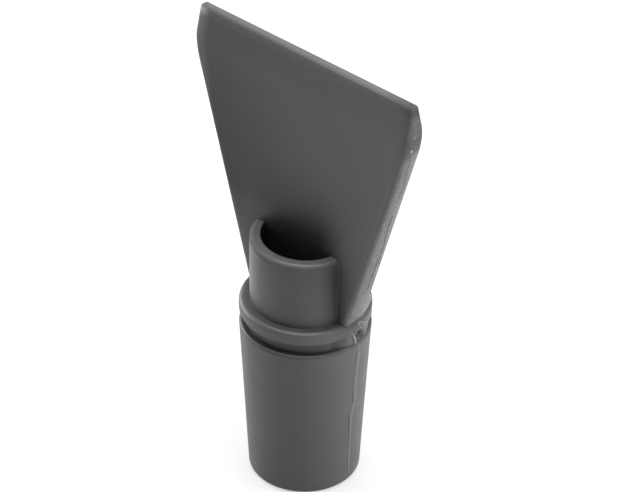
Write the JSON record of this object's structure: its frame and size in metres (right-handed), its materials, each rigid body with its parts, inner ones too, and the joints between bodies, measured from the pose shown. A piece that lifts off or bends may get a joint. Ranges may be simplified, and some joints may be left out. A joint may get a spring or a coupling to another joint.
{
  "type": "vacuum scraper tool",
  "caption": "One-piece plastic scraper for a suction hose: a flared flat blade, an open suction tube on its front, a collar and a tapered hollow sleeve.",
  "frame": {"origin": "centre of the sleeve's free end, on the sleeve's axis", "axes": "+Z along the sleeve's axis towards the blade's edge, -Y towards the face with the suction tube, X along the blade's width"},
  "size_m": [0.0776, 0.0378, 0.1413],
  "materials": {
    "plastic": "satin moulded plastic, dark grey"
  },
  "bodies": {
    "root": {"scraper_tool": "plastic"}
  },
  "joints": []
}
